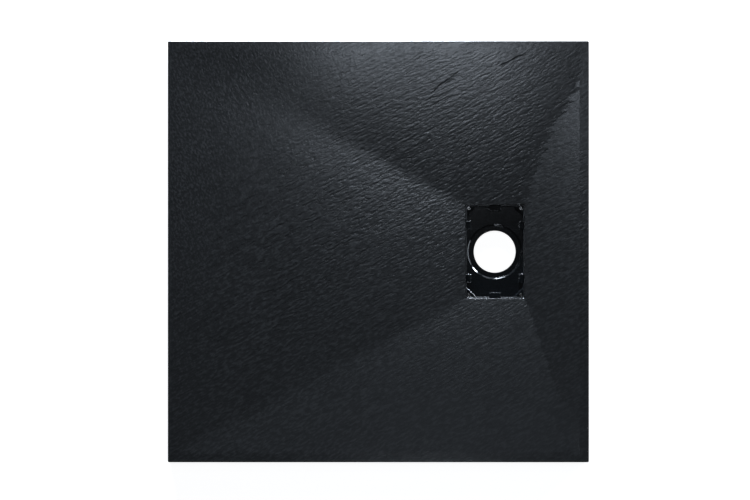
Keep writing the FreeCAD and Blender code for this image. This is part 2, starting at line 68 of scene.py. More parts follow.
CORNER_RADIUS = 3 * MM
EDGE_RADIUS = 2 * MM
RIM_WIDTH = 20 * MM
FALL = 13 * MM
PAN_CLEARANCE = 0.6 * MM
RECESS_EDGE = 1.5 * MM  # the radius of the recess's upper edge
RECESS_CORNER = 1.5 * MM
LEDGE = 10 * MM
SEAT_LEDGE = 6 * MM
BOSS_HOLE = 61.5 * MM
WASTE_HOLE = 48.3 * MM
RIM = HALF - RIM_WIDTH  # how far from the centre the level rim starts
FLOOR_LOW = TOP - FALL
PAD_LEVEL = FLOOR_LOW - 6 * MM  # the tops that a cover rests on
RECESS_HALF = Vector((pan_hi.x - DRAIN.x, pan_hi.y)) + Vector((PAN_CLEARANCE, PAN_CLEARANCE))

# The top surface ends where its rounded edges start.
OUTER_HALF = HALF - EDGE_RADIUS
OUTER_CORNER = CORNER_RADIUS - EDGE_RADIUS
HOLE_HALF = RECESS_HALF + Vector((RECESS_EDGE, RECESS_EDGE))
HOLE_CORNER = RECESS_CORNER + RECESS_EDGE

# The slate, as the mesh and its material share it ----------------------------------------------------------

STREAK_ANGLE = 31.0  # in degrees, anticlockwise from +X
TOWARDS_STREAKS = (0.8, -0.5)  # away from the grained corner
STREAKS_START, STREAKS_FULL = -0.42, -0.07  # how far that way

# The relief in the mesh ------------------------------------------------------------------------------------

GRID_STEPS = (4.2 * MM, 2.5 * MM)  # along x and y: the streaks are finer from south to north
EDGE_STEPS, RECESS_EDGE_STEPS = 4, 6  # faces over the tray's rounded edge, and over the recess's
SHARP_ANGLE = 40  # in degrees: faces that meet at more than this keep a sharp edge
RELIEF_DEEPEST = 0.7 * MM  # less than the coat, so that the core never shows
RELIEF_REACH = 1.0 * MM  # over which the relief's rise is taken
RECESS_BORDER = 5 * MM  # where the relief fades out before the recess's edge
# The waves that bend the streaks: height, length and place in the noise.
BENDS = (
    (16 * MM, 240 * MM, (0, 0)),
    (3.5 * MM, 70 * MM, (5, 0)),
    (1.2 * MM, 19 * MM, (0, 9)),
)
# The relief's forms, each with its length and width: along and across the streaks. Lumps lie along x and y.
RIPPLE, FINE_RIPPLE = (30 * MM, 8.5 * MM), (18 * MM, 6.2 * MM)
TERRACE = (110 * MM, 22 * MM)
LUMP, FINE_LUMP = (8 * MM, 12 * MM), (7 * MM, 9 * MM)
RIPPLE_SHARE, TERRACE_SHARE, LUMP_SHARE = 0.09, 0.03, 0.055
RIDGE_SHARPNESS = 2.2
TERRACE_STEEPNESS = 12
TERRACE_LEVELS = (0.22, -0.26)  # of the noise, where one terrace drops to the next
# How far the borders between kinds of slate waver, and over which length.
STREAKY_WAVER = (120 * MM, 150 * MM)
STRENGTH_WAVER = (80 * MM, 120 * MM)
# The relief's strength: what is left or lost on a side, and from where to where it changes.
SOUTHERN_LEFT, SOUTHERN_Y = 0.22, (-0.33, 0.03)
EASTERN_LOSS, EASTERN_X = 0.35, (0.02, 0.32)
CORNER_LOSS, CORNER_X, CORNER_Y = 0.35, (0.1, 0.3), (0.18, 0.33)

# How the slopes meet, as heights ---------------------------------------------------------------------------

CREASE_SOFTNESS = 0.1 * MM  # how far the four slopes blend into each other in the mesh
RIM_SOFTNESS = 0.01 * MM  # how far they blend into the level rim
RIM_CREASE = 0.5 * MM  # how far from the rim's crease a grid line runs on either side of it

# In the normals, which shade the slopes, their creases wander, fade or give way as well. Each kind of
# wandering has its height, and then its length and width. What changes has the places where it starts
# and where it is full.
SHADE_SOFTNESS = 0.2 * MM  # west of the drain
SHADE_FADE, FADE_X = 5.0, (0.05, -0.35)  # how many times as much is added at the north-western corner
CREASE_WANDER, WESTERN_WANDER, CREASE_CELL = 0.6 * MM, 0.18 * MM, (21 * MM, 13 * MM)
RIM_WANDER, RIM_CELL = 0.4 * MM, (16 * MM, 12 * MM)
RAGGED_WANDER, RAGGED_CELL = 2.6 * MM, (45 * MM, 7.5 * MM)  # where streaks cross the north-eastern crease
RAGGED_Y = (0.12, 0.32)
CORNER_EASE, EASE_Y = 3 * MM, (0.24, 0.38)  # how far the eastern slope gives way before its corner


def ramp(value, start, full):
    """0 up to the start, 1 from where it is full, and smooth between them."""
    t = np.clip((value - start) / (full - start), 0, 1)
    return t * t * (3 - 2 * t)


class Noise:
    """Smooth gradient noise in two dimensions, the same on every run."""

    REACH = 1.4  # brings the highest values to about 1

    def __init__(self, seed):
        rng = np.random.default_rng(seed)
        self.order = rng.permutation(256)
        turn = rng.uniform(0, 2 * math.pi, 256)
        self.gradient = np.stack([np.cos(turn), np.sin(turn)], axis=-1)

    def corner(self, ix, iy, fx, fy):
        g = self.gradient[self.order[(self.order[ix & 255] + iy) & 255]]
        return g[..., 0] * fx + g[..., 1] * fy

    def row(self, ix, iy, fx, fy, share):
        """Between a cell's two corners at one y."""
        return self.corner(ix, iy, fx, fy) * (1 - share) + self.corner(ix + 1, iy, fx - 1, fy) * share

    def __call__(self, x, y, cell, shift=(0, 0)):
        """About -1 to 1 at each place, with cells of that length along x and along y."""
        x, y = x / cell[0] + shift[0], y / cell[1] + shift[1]
        ix, iy = np.floor(x).astype(int), np.floor(y).astype(int)
        fx, fy = x - ix, y - iy
        ux, uy = (f**3 * (f * (6 * f - 15) + 10) for f in (fx, fy))
        value = self.row(ix, iy, fx, fy, ux) * (1 - uy) + self.row(ix, iy + 1, fx, fy - 1, ux) * uy
        return self.REACH * value


def streak_axes(x, y):
    """How far a place lies along the streaks, and across them."""
    turn = math.radians(STREAK_ANGLE)
    return x * math.cos(turn) + y * math.sin(turn), -x * math.sin(turn) + y * math.cos(turn)


def relief(x, y):
    """The slate's height over the tray, about -1 to 1: grains at one corner, long streaks elsewhere."""
    warp, veil, streaks, steps, grains = (Noise(seed) for seed in (11, 23, 37, 41, 59))
    along, across = streak_axes(x, y)
    for height, length, shift in BENDS:
        across = across + height * warp(x, y, (length, length), shift)

    def ridged(noise, form):
        return 1 - RIDGE_SHARPNESS * np.abs(noise(along, across, form))

    def waver(height, length):
        return height * veil(x, y, (length, length))

    ripples = ridged(streaks, RIPPLE) + 0.5 * ridged(grains, FINE_RIPPLE)
    bands = steps(along, across, TERRACE)
    terraces = sum(np.tanh(TERRACE_STEEPNESS * (bands - level)) for level in TERRACE_LEVELS)
    lumps = grains(x, y, LUMP) + 0.5 * streaks(x, y, FINE_LUMP, (3, 0))
    streaky = streak_share(x, y, waver(*STREAKY_WAVER))
    streaked = streaky * (RIPPLE_SHARE * ripples + TERRACE_SHARE * terraces)
    grained = (1 - 0.8 * streaky) * LUMP_SHARE * lumps
    return relief_strength(x, y, waver(*STRENGTH_WAVER)) * (streaked + grained)


def streak_share(x, y, waver):
    """1 where the slate has streaks, and 0 at the corner where it is grained."""
    return ramp(x * TOWARDS_STREAKS[0] + y * TOWARDS_STREAKS[1] + waver, STREAKS_START, STREAKS_FULL)


def relief_strength(x, y, waver):
    """Full over most of the tray, less towards its south, its east and one corner, none at the recess."""
    southern = SOUTHERN_LEFT + (1 - SOUTHERN_LEFT) * ramp(y + waver, *SOUTHERN_Y)
    eastern = 1 - EASTERN_LOSS * ramp(x, *EASTERN_X)
    north_eastern = 1 - CORNER_LOSS * ramp(x, *CORNER_X) * ramp(y, *CORNER_Y)
    clear = np.maximum(np.abs(x - DRAIN.x) - RECESS_HALF.x, np.abs(y) - RECESS_HALF.y)
    return southern * eastern * north_eastern * ramp(clear, RECESS_EDGE, RECESS_EDGE + RECESS_BORDER)


# The gel coat's form ---------------------------------------------------------------------------------------


def slope_planes():
    """The four slopes from the rim to the recess, each as its rise along x, its rise along y and its base."""
    west = FALL / (RIM + DRAIN.x - RECESS_HALF.x)
    east = FALL / (RIM - DRAIN.x - RECESS_HALF.x)
    side = FALL / (RIM - RECESS_HALF.y)
    return (
        (-west, 0.0, FLOOR_LOW + west * (DRAIN.x - RECESS_HALF.x)),
        (east, 0.0, FLOOR_LOW - east * (DRAIN.x + RECESS_HALF.x)),
        (0.0, -side, FLOOR_LOW - side * RECESS_HALF.y),
        (0.0, side, FLOOR_LOW - side * RECESS_HALF.y),
    )


def slope_heights(x, y):
    """The four slopes' heights at each place, one slope after the other."""
    return np.stack([base + rise_x * x + rise_y * y for rise_x, rise_y, base in slope_planes()])


def plain_height(x, y):
    """The top's height without relief: the highest slope at each place, up to the level rim."""
    floor = CREASE_SOFTNESS * np.logaddexp.reduce(slope_heights(x, y) / CREASE_SOFTNESS, axis=0)
    return -RIM_SOFTNESS * np.logaddexp(-floor / RIM_SOFTNESS, -TOP / RIM_SOFTNESS)


def slate(x, y):
    """The relief's height over the plain top: from the deepest that it may reach up to nothing."""
    return RELIEF_DEEPEST / 2 * (np.tanh(relief(x, y)) - 1)


def slate_rise(x, y):
    """The relief's rise along x and along y at each place."""
    along_x = slate(x + RELIEF_REACH, y) - slate(x - RELIEF_REACH, y)
    along_y = slate(x, y + RELIEF_REACH) - slate(x, y - RELIEF_REACH)
    return np.stack([along_x, along_y], axis=-1) / (2 * RELIEF_REACH)


def coat_normals(plan, quads):
    """Normals for each quad's corners: the relief's rise, and the rise of the slope that the quad is on.

    West of the drain two slopes blend softly, from corner to corner. East of it a quad's four corners have
    the slope under the quad's centre, so that the steeper creases stay sharp.
    """
    corners = plan[quads]
    centres = np.broadcast_to(corners.mean(axis=1, keepdims=True), corners.shape)
    western = (centres[..., 0] < DRAIN.x) & (np.abs(centres).max(axis=-1) < RIM)
    places = np.where(western[..., None], corners, centres)
    rise = slate_rise(*plan.T)[quads] + shaded_rise(places[..., 0], places[..., 1], western)
    normals = np.concatenate([-rise, np.ones((*western.shape, 1))], axis=-1)
    return normals / np.linalg.norm(normals, axis=-1, keepdims=True)


def shaded_rise(x, y, western):
    """The rise along x and along y of the slope that shades each place, and none on the level rim."""
    stack = slope_heights(x, y)
    level = stack.max(axis=0) > TOP + RIM_WANDER * Noise(83)(x, y, RIM_CELL)
    stack[:2] += crease_shift(x, y, western)
    softness = SHADE_SOFTNESS * (1 + SHADE_FADE * ramp(x, *FADE_X) * (y > 0))
    share = np.exp((stack - stack.max(axis=0)) / np.where(western, softness, RIM_SOFTNESS))
    share /= share.sum(axis=0)
    share[:, level] = 0
    return np.einsum("pk,pqc->qck", np.array(slope_planes())[:, :2], share)


def crease_shift(x, y, western):
    """How much higher the western and eastern slopes count, which moves their creases to and fro."""
    shift = np.where(western, WESTERN_WANDER, CREASE_WANDER) * Noise(71)(x, y, CREASE_CELL)
    ragged = RAGGED_WANDER * ramp(y, *RAGGED_Y) * Noise(97)(*streak_axes(x, y), RAGGED_CELL)
    return shift + (x > DRAIN.x) * (ragged - CORNER_EASE * ramp(y, *EASE_Y))


def grid_lines(stops, step):
    """Coordinates through all the stops, with even steps of at most step between them."""
    lines = [stops[0]]
    for a, b in zip(stops, stops[1:]):
        count = max(1, math.ceil((b - a) / step - 1e-6))
        lines += [a + (b - a) * (i + 1) / count for i in range(count)]
    return np.array(lines)


def corner_stops(edge, radius):
    """Three lines that end at a rounded corner's edge: its arc's start, its middle and the edge."""
    return [edge - radius, edge - radius / 2, edge]


def axis_stops(middle, half):
    """The lines that the grid needs in one direction: round the recess, and at the rim's crease and edge."""
    hole = corner_stops(half, HOLE_CORNER)
    inner = [middle - s for s in reversed(hole)] + [middle + s for s in hole]
    outer = [RIM - RIM_CREASE, RIM + RIM_CREASE] + corner_stops(OUTER_HALF, OUTER_CORNER)
    return [-s for s in reversed(outer)] + inner + outer


def quarter_round(steps):
    """A rounded edge after its first point: how far out and how far down, as shares of its radius."""
    turns = [math.pi / 2 * k / steps for k in range(1, steps + 1)]
    return [(math.sin(turn), 1 - math.cos(turn)) for turn in turns]


class Shell:
    """Collects points and faces of one mesh."""

    def __init__(self):
        self.points, self.faces = [], []

    def add(self, xy, z):
        """Adds a row of points and returns their numbers."""
        first = len(self.points)
        heights = np.broadcast_to(z, len(xy))
        self.points += [(x, y, h) for (x, y), h in zip(xy, heights)]
        return list(range(first, len(self.points)))

    def band(self, a, b):
        """Quads between two closed loops of as many points each."""
        count = len(a)
        self.faces += [(a[i], a[(i + 1) % count], b[(i + 1) % count], b[i]) for i in range(count)]

    def mesh(self, name):
        mesh = bpy.data.meshes.new(name)
        mesh.from_pydata(self.points, [], self.faces)
        mesh.validate()
        return mesh


def ring(west, east, south, north):
    """The grid's places round a rectangle of its lines, anticlockwise from the south-west corner."""
    loop = [(i, south) for i in range(west, east)]
    loop += [(east, j) for j in range(south, north)]
    loop += [(i, north) for i in range(east, west, -1)]
    loop += [(west, j) for j in range(north, south, -1)]
    return loop


def rounded(xy, half, middle, radius):
    """Moves a rectangular loop's corner points on to arcs. Returns the loop and its outward directions."""
    local = np.array(xy) - middle
    core = np.clip(local, -(half - radius), half - radius)
    side = np.sign(local - core)
    beyond = np.abs(local - core)
    outside = beyond > 1e-9
    # Along a corner's two sides the angle grows evenly, so that the arc's points are evenly spaced.
    share = beyond.min(axis=1) / np.maximum(beyond.max(axis=1), 1e-12) * math.pi / 4
    turn = np.where(beyond[:, 0] >= beyond[:, 1], share, math.pi / 2 - share)
    arc = np.stack([np.cos(turn), np.sin(turn)], axis=1) * side
    outward = np.where(outside.all(axis=1)[:, None], arc, np.where(outside, side, 0))
    return core + middle + outward * radius, outward


class TopGrid:
    """The coat's top: a grid of places and heights, with a hole in it and rounded corners at both edges."""

    def __init__(self):
        xs = grid_lines(axis_stops(DRAIN.x, HOLE_HALF.x), GRID_STEPS[0])
        ys = grid_lines(axis_stops(0, HOLE_HALF.y), GRID_STEPS[1])
        self.plan = np.stack(np.meshgrid(xs, ys, indexing="ij"), axis=-1)
        self.west, self.east = (int(np.abs(xs - (DRAIN.x + s * HOLE_HALF.x)).argmin()) for s in (-1, 1))
        self.south, self.north = (int(np.abs(ys - s * HOLE_HALF.y).argmin()) for s in (-1, 1))
        border = ring(0, len(xs) - 1, 0, len(ys) - 1)
        opening = ring(self.west, self.east, self.south, self.north)
        self.rim = self.edge(border, np.full(2, OUTER_HALF), np.zeros(2), OUTER_CORNER)
        self.hole = self.edge(opening, np.array(HOLE_HALF), np.array(DRAIN), HOLE_CORNER)
        x, y = self.plan[..., 0], self.plan[..., 1]
        self.heights = plain_height(x, y) + slate(x, y)
        self.number = np.full(self.heights.shape, -1)

    def edge(self, loop, half, middle, radius):
        """Rounds a loop's corners in the grid. Returns the loop, its places and its outward directions."""
        xy, outward = rounded([self.plan[at] for at in loop], half, middle, radius)
        for at, place in zip(loop, xy):
            self.plan[at] = place
        return loop, xy, outward

    def lay(self, shell):
        """Adds the grid's points and quads to the shell, except where the hole is."""
        columns, rows = self.heights.shape
        for i, j in itertools.product(range(columns), range(rows)):
            if not (self.west < i < self.east and self.south < j < self.north):
                self.number[i, j] = len(shell.points)
                shell.points.append((*self.plan[i, j], self.heights[i, j]))
        for i, j in itertools.product(range(columns - 1), range(rows - 1)):
            if not (self.west <= i < self.east and self.south <= j < self.north):
                quad = ((i, j), (i + 1, j), (i + 1, j + 1), (i, j + 1))
                shell.faces.append(tuple(int(self.number[at]) for at in quad))

    def turned(self, shell, edge, reach, side, profile):
        """Loops that carry the top over an edge: outward for side 1, inward for -1."""
        loop, xy, outward = edge
        rows = [[int(self.number[at]) for at in loop]]
        z = np.array([self.heights[at] for at in loop])
        for out, down in profile:
            rows.append(shell.add(xy + side * reach * out * outward, z - reach * down))
        return rows


def outer_loops(shell, top):
    """Over the tray's upper edge, down its sides, and up and inwards behind the coat."""
    loops = top.turned(shell, top.rim, EDGE_RADIUS, 1, quarter_round(EDGE_STEPS))
    _, xy, outward = top.rim
    side, back = xy + EDGE_RADIUS * outward, xy + (EDGE_RADIUS - COAT) * outward
    for places, level in (
        (side, skin_lo.z),
        (back, skin_lo.z),
        (back, TOP - COAT),
        (xy * RIM / HALF, TOP - COAT),
    ):
        loops.append(shell.add(places, level))
    return loops


def inner_loops(shell, top):
    """Over the recess's edge, down to the ledges, through the waste hole, and back behind the coat."""
    loops = top.turned(shell, top.hole, RECESS_EDGE, -1, quarter_round(RECESS_EDGE_STEPS))
    _, xy, outward = top.hole
    wall, middle = xy - RECESS_EDGE * outward, np.array(DRAIN)
    turn = np.arctan2(*(wall - middle).T[::-1])
    spoke = np.stack([np.cos(turn), np.sin(turn)], axis=1)
    boss, waste = (middle + spoke * radius for radius in (BOSS_HOLE, WASTE_HOLE))
    boss_back, waste_back = (middle + spoke * (radius + COAT) for radius in (BOSS_HOLE, WASTE_HOLE))
    wall_back = wall + COAT * outward
    for places, level in (
        (wall, LEDGE),
        (boss, LEDGE),
        (boss, SEAT_LEDGE),
        (waste, SEAT_LEDGE),
        (waste, skin_lo.z),
        (waste_back, skin_lo.z),
        (waste_back, SEAT_LEDGE - COAT),
        (boss_back, SEAT_LEDGE - COAT),
        (boss_back, LEDGE - COAT),
        (wall_back, LEDGE - COAT),
        (wall_back, FLOOR_LOW - COAT),
    ):
        loops.append(shell.add(places, level))
    return loops


def loop_sides(shell, loop):
    """A loop's four sides, each from corner to corner, in its own order: south, east, north, west."""
    places = np.array([shell.points[n][:2] for n in loop])
    middle = (places.max(axis=0) + places.min(axis=0)) / 2
    diagonals = np.array([(-1, -1), (1, -1), (1, 1), (-1, 1)])
    corners = [int(n) for n in ((places - middle) @ diagonals.T).argmax(axis=0)]
    sides = []
    for a, b in zip(corners, corners[1:] + corners[:1]):
        span = (b - a) % len(loop)
        sides.append([loop[(a + k) % len(loop)] for k in range(span + 1)])
    return sides


def make_coat():
    """The gel coat as one closed shell: relief on top, rounded edges, plain sides and a plain inner face."""
    shell, top = Shell(), TopGrid()
    top.lay(shell)
    quads = np.array(shell.faces)
    normals = coat_normals(np.array(shell.points)[:, :2], quads)
    outside, inside = outer_loops(shell, top), inner_loops(shell, top)
    for a, b in zip(outside, outside[1:]):
        shell.band(b, a)
    for a, b in zip(inside, inside[1:]):
        shell.band(a, b)
    # One face under each slope closes the coat's inner side.
    for far, near in zip(loop_sides(shell, outside[-1]), loop_sides(shell, inside[-1])):
        shell.faces.append(tuple(near + far[::-1]))
    mesh = shell.mesh("slate_gelcoat")
    mesh.shade_smooth()
    mesh.set_sharp_from_angle(angle=math.radians(SHARP_ANGLE))
    corners = np.zeros((len(mesh.loops), 3))
    corners[: quads.size] = normals.reshape(-1, 3)
    mesh.normals_split_custom_set(corners)
    plain = np.zeros(len(mesh.polygons), dtype=int)  # the second material, on all but the top's quads
    plain[len(quads) :] = 1
    mesh.polygons.foreach_set("material_index", plain)
    return mesh


# Materials -------------------------------------------------------------------------------------------------


class Look:
    """One material: its shader, and short ways to add the nodes that feed it."""

    CLEFT_HALF_WIDTH = 1.7 * MM
    CLEFT_BEND = 3 * MM
    CLEFT_TAPERS = (20 * MM, 30 * MM)  # at its start and at its end

    def __init__(self, name, **sockets):
        self.material = bpy.data.materials.new(name)
        self.material.use_nodes = True
        self.tree = self.material.node_tree
        self.shader = self.tree.nodes["Principled BSDF"]
        for socket, value in sockets.items():
            self.shader.inputs[socket.replace("_", " ")].default_value = value
        self.place = self.tree.nodes.new("ShaderNodeTexCoord").outputs["Object"]

    def link(self, source, target):
        self.tree.links.new(source, target)

    def fill(self, socket, source):
        """Feeds a socket with another node's output, or sets it to a constant."""
        if isinstance(source, bpy.types.NodeSocket):
            self.link(source, socket)
        else:
            socket.default_value = source

    def worked_out(self, kind, operation, *sources):
        """A node that works out one result from its inputs, in their order."""
        node = self.tree.nodes.new(kind)
        node.operation = operation
        for socket, source in zip(node.inputs, sources):
            self.fill(socket, source)
        return node.outputs

    def sum(self, a, b):
        return self.worked_out("ShaderNodeMath", "ADD", a, b)["Value"]

    def product(self, a, b):
        return self.worked_out("ShaderNodeMath", "MULTIPLY", a, b)["Value"]

    def dot(self, direction):
        """How far a point lies along a direction."""
        return self.worked_out("ShaderNodeVectorMath", "DOT_PRODUCT", self.place, direction)["Value"]

    def contour(self, value, level, width):
        """1 where the value is at the level, down to 0 at width from it: thin lines through a noise."""
        away = self.worked_out("ShaderNodeMath", "SUBTRACT", value, level)["Value"]
        apart = self.worked_out("ShaderNodeMath", "ABSOLUTE", away)["Value"]
        return self.spread(apart, 0.0, width, 1.0, 0.0)

    def stretched(self, degrees, scale):
        """Object coordinates turned about Z and then scaled, for a grain with a direction."""
        turned = self.tree.nodes.new("ShaderNodeVectorRotate")
        turned.rotation_type = "Z_AXIS"
        turned.inputs["Angle"].default_value = math.radians(degrees)
        self.link(self.place, turned.inputs["Vector"])
        return self.worked_out("ShaderNodeVectorMath", "MULTIPLY", turned.outputs["Vector"], scale)["Vector"]

    def noise(self, scale, detail=2.0, rough=0.5, place=None):
        node = self.tree.nodes.new("ShaderNodeTexNoise")
        node.inputs["Scale"].default_value = scale
        node.inputs["Detail"].default_value = detail
        node.inputs["Roughness"].default_value = rough
        self.link(place or self.place, node.inputs["Vector"])
        return node.outputs["Fac"]

    def grain(self, degrees, scale, detail, rough):
        """Noise that runs in a direction, with its scale along it, across it and upwards."""
        return self.noise(1.0, detail, rough, self.stretched(-degrees, scale))

    def cells(self, scale):
        """A different value for each small cell, for specks."""
        node = self.tree.nodes.new("ShaderNodeTexVoronoi")
        node.inputs["Scale"].default_value = scale
        self.link(self.place, node.inputs["Vector"])
        split = self.tree.nodes.new("ShaderNodeSeparateColor")
        self.link(node.outputs["Color"], split.inputs["Color"])
        return split.outputs["Red"]

    def spread(self, value, low, high, to_low=0.0, to_high=1.0):
        """Maps a value from low..high to another range, clamped."""
        node = self.tree.nodes.new("ShaderNodeMapRange")
        for socket, number in zip(("From Min", "From Max", "To Min", "To Max"), (low, high, to_low, to_high)):
            node.inputs[socket].default_value = number
        self.link(value, node.inputs["Value"])
        return node.outputs["Result"]

    def inverse(self, value):
        return self.spread(value, 0.0, 1.0, 1.0, 0.0)

    def cleft(self, start, end):
        """1 along a slightly winding line between two places on the floor, and 0 away from it."""
        run = Vector(end) - Vector(start)
        ahead = run.normalized()
        first = ahead.dot(Vector(start))
        last = first + run.length
        along, beside = self.dot((*ahead, 0.0)), self.dot((-ahead.y, ahead.x, 0.0))
        bend = self.spread(self.noise(28, 2), 0.25, 0.75, -self.CLEFT_BEND, self.CLEFT_BEND)
        middle = -ahead.y * start[0] + ahead.x * start[1]
        line = self.contour(self.sum(beside, bend), middle, self.CLEFT_HALF_WIDTH)
        line = self.product(line, self.spread(along, first, first + self.CLEFT_TAPERS[0]))
        return self.product(line, self.spread(along, last - self.CLEFT_TAPERS[1], last, 1.0, 0.0))

    def blend(self, factor, a, b):
        """Mixes two values: a where the factor is 0, b where it is 1."""
        node = self.tree.nodes.new("ShaderNodeMix")
        for socket, source in zip(("Factor", "A", "B"), (factor, a, b)):
            self.link(source, node.inputs[socket])
        return node.outputs["Result"]

    def mix(self, factor, a, b):
        """Mixes two colours, each four numbers or a colour output."""
        node = self.tree.nodes.new("ShaderNodeMix")
        node.data_type = "RGBA"
        self.link(factor, node.inputs["Factor"])
        self.fill(node.inputs[6], a)  # the node's first input for colours, and then its second
        self.fill(node.inputs[7], b)
        return node.outputs[2]

    def bump(self, height, distance, below=None):
        """Adds a relief of that height on the bumps below it. Returns the normal."""
        node = self.tree.nodes.new("ShaderNodeBump")
        node.inputs["Strength"].default_value = 1.0
        node.inputs["Distance"].default_value = distance
        self.link(height, node.inputs["Height"])
        if below:
            self.link(below, node.inputs["Normal"])
        return node.outputs["Normal"]

    def wear(self, colour=None, roughness=None, normal=None):
        for socket, source in (("Base Color", colour), ("Roughness", roughness), ("Normal", normal)):
            if source:
                self.link(source, self.shader.inputs[socket])
        return self.material


def grey(value, warmth=0.0):
    """A grey as linear colour, warmer above 0 and cooler below."""
    return (value * (1 + warmth), value, value * (1 - warmth), 1.0)


def slate_grey(value):
    return grey(value, -0.04)


EAST, NORTH, UP = (1.0, 0.0, 0.0), (0.0, 1.0, 0.0), (0.0, 0.0, 1.0)
SLATE_SOUTH = (-0.36, 0.04)  # from the calm southern side to where the slate is fully lively
GRAIN_ANGLE = 115.0  # how the grained corner's grains lie, in degrees
CLEFTS = (((0.104, 0.333), (0.176, 0.389)), ((0.2516, 0.392), (0.33, 0.434)))  # each from end to end


def slate_marks(look):
    """What the slate's colour and bumps share: its strength over the tray, its grains, lines and cracks."""
    easting, northing = look.dot(EAST), look.dot(NORTH)
    streakward = look.dot((*TOWARDS_STREAKS, 0.0))
    calm = look.spread(northing, *SLATE_SOUTH, 0.4, 0.95)
    calm = look.product(calm, look.spread(easting, -0.3, 0.4, 1.15, 0.58))
    calm = look.product(calm, look.spread(look.dot((0.7, 0.7, 0.0)), 0.3, 0.48, 1.0, 0.72))
    # How strongly the colour paints the relief's light and shade: more towards the north and the west.
    painted = look.spread(northing, *SLATE_SOUTH, 0.25, 0.65)
    painted = look.product(painted, look.spread(easting, -0.35, 0.05, 1.7, 1.0))
    streaky = look.spread(streakward, STREAKS_START, STREAKS_FULL)
    cracks = look.contour(look.grain(STREAK_ANGLE + 4, (24, 70, 60), 1, 0.5), 0.5, 0.035)
    cracks = look.product(cracks, look.spread(look.noise(21, 1), 0.47, 0.6))
    return SimpleNamespace(
        calm=calm,
        painted=painted,
        streaky=streaky,
        fibres=look.grain(STREAK_ANGLE, (85, 225, 180), 1, 0.6),
        grains=look.grain(GRAIN_ANGLE, (150, 240, 150), 2, 0.6),
        lines=look.grain(STREAK_ANGLE - 3, (13, 190, 150), 2, 0.55),
        lined=look.spread(streakward, -0.46, -0.2),
        cracks=look.product(cracks, look.product(streaky, calm)),
        clefts=look.sum(*(look.cleft(start, end) for start, end in CLEFTS)),
    )


def slate_colour(look, marks):
    """Painted relief shade: a painted highlight on the high places, painted shade in the low ones, the cracks,
    the furrows and the clefts.
    """
    grains = look.spread(marks.grains, 0.0, 1.0, 0.15, 0.85)
    # Painted relief shade: the pebbles and fibres, taken as heights, make the colour lighter or darker.
    height = look.spread(look.blend(marks.streaky, grains, marks.fibres), 0.38, 0.62, -1.0, 1.0)
    height = look.spread(look.product(height, marks.painted), -1.0, 1.0)
    # Painted shade along the furrows, where the lines run low.
    furrows = look.spread(marks.lines, 0.4, 0.48, 0.5, 0.0)
    furrows = look.product(furrows, look.product(marks.lined, marks.painted))
    cloudy = look.spread(look.noise(7, 3, 0.55), 0.35, 0.65)
    colour = look.mix(cloudy, slate_grey(0.0215), slate_grey(0.025))
    # Painted shade in the low places, then a painted highlight on the high ones.
    colour = look.mix(height, slate_grey(0.015), colour)
    colour = look.mix(look.spread(height, 0.5, 1.0), colour, slate_grey(0.036))
    # Painted shade in the cracks, the furrows and the clefts.
    colour = look.mix(marks.cracks, colour, slate_grey(0.014))
    colour = look.mix(furrows, colour, slate_grey(0.009))
    return look.mix(marks.clefts, colour, slate_grey(0.011))


def slate_bumps(look, marks):
    """The relief that is finer than the mesh, from its pebbles down to its skin."""
    grains = look.spread(marks.grains, 0.0, 1.0, 0.22, 0.78)
    pebbles = look.blend(marks.streaky, grains, marks.fibres)
    fine = look.grain(STREAK_ANGLE + 6, (150, 500, 400), 2, 0.5)
    normal = None
    for height, distance in (
        (look.product(pebbles, marks.calm), 0.45 * MM),
        (look.inverse(marks.cracks), 0.08 * MM),
        (look.inverse(marks.clefts), 0.3 * MM),
        (look.product(marks.lines, look.product(marks.lined, marks.calm)), 0.24 * MM),
        (look.product(fine, marks.calm), 0.05 * MM),
        (look.noise(850, 2), 0.01 * MM),
    ):
        normal = look.bump(height, distance, normal)
    return normal


def slate_look():
    """Cast slate: pebbled and streaked, its relief's light and shade partly painted into its colour, calmer
    towards the south.
    """
    look = Look("slate_gelcoat")
    marks = slate_marks(look)
    roughness = look.spread(look.noise(55, 3), 0.3, 0.7, 0.185, 0.22)
    return look.wear(slate_colour(look, marks), roughness, slate_bumps(look, marks))


def slate_edge_look():
    """The same gel coat where the mould is plain: on the sides, the rounded edges and in the recess."""
    look = Look("slate_gelcoat_edge")
    colour = look.mix(look.noise(140, 3), slate_grey(0.011), slate_grey(0.015))
    roughness = look.spread(look.noise(90, 3), 0.3, 0.7, 0.17, 0.22)
    return look.wear(colour, roughness, look.bump(look.noise(600, 2), 0.01 * MM))


def stone_look():
    """Cast stone on the underside: pale resin with light and dark specks of its filler."""
    look = Look("cast_stone")
    sand = look.cells(620)
    colour = look.mix(look.spread(look.noise(12, 4), 0.3, 0.7), grey(0.16, 0.02), grey(0.21, 0.03))
    colour = look.mix(look.spread(sand, 0.86, 0.9), colour, grey(0.33, 0.02))
    colour = look.mix(look.spread(look.cells(740), 0.9, 0.94), colour, grey(0.09))
    roughness = look.spread(look.noise(90, 3), 0.3, 0.7, 0.62, 0.85)
    normal = look.bump(look.noise(260, 4, 0.65), 0.6 * MM)
    return look.wear(colour, roughness, look.bump(sand, 0.1 * MM, normal))


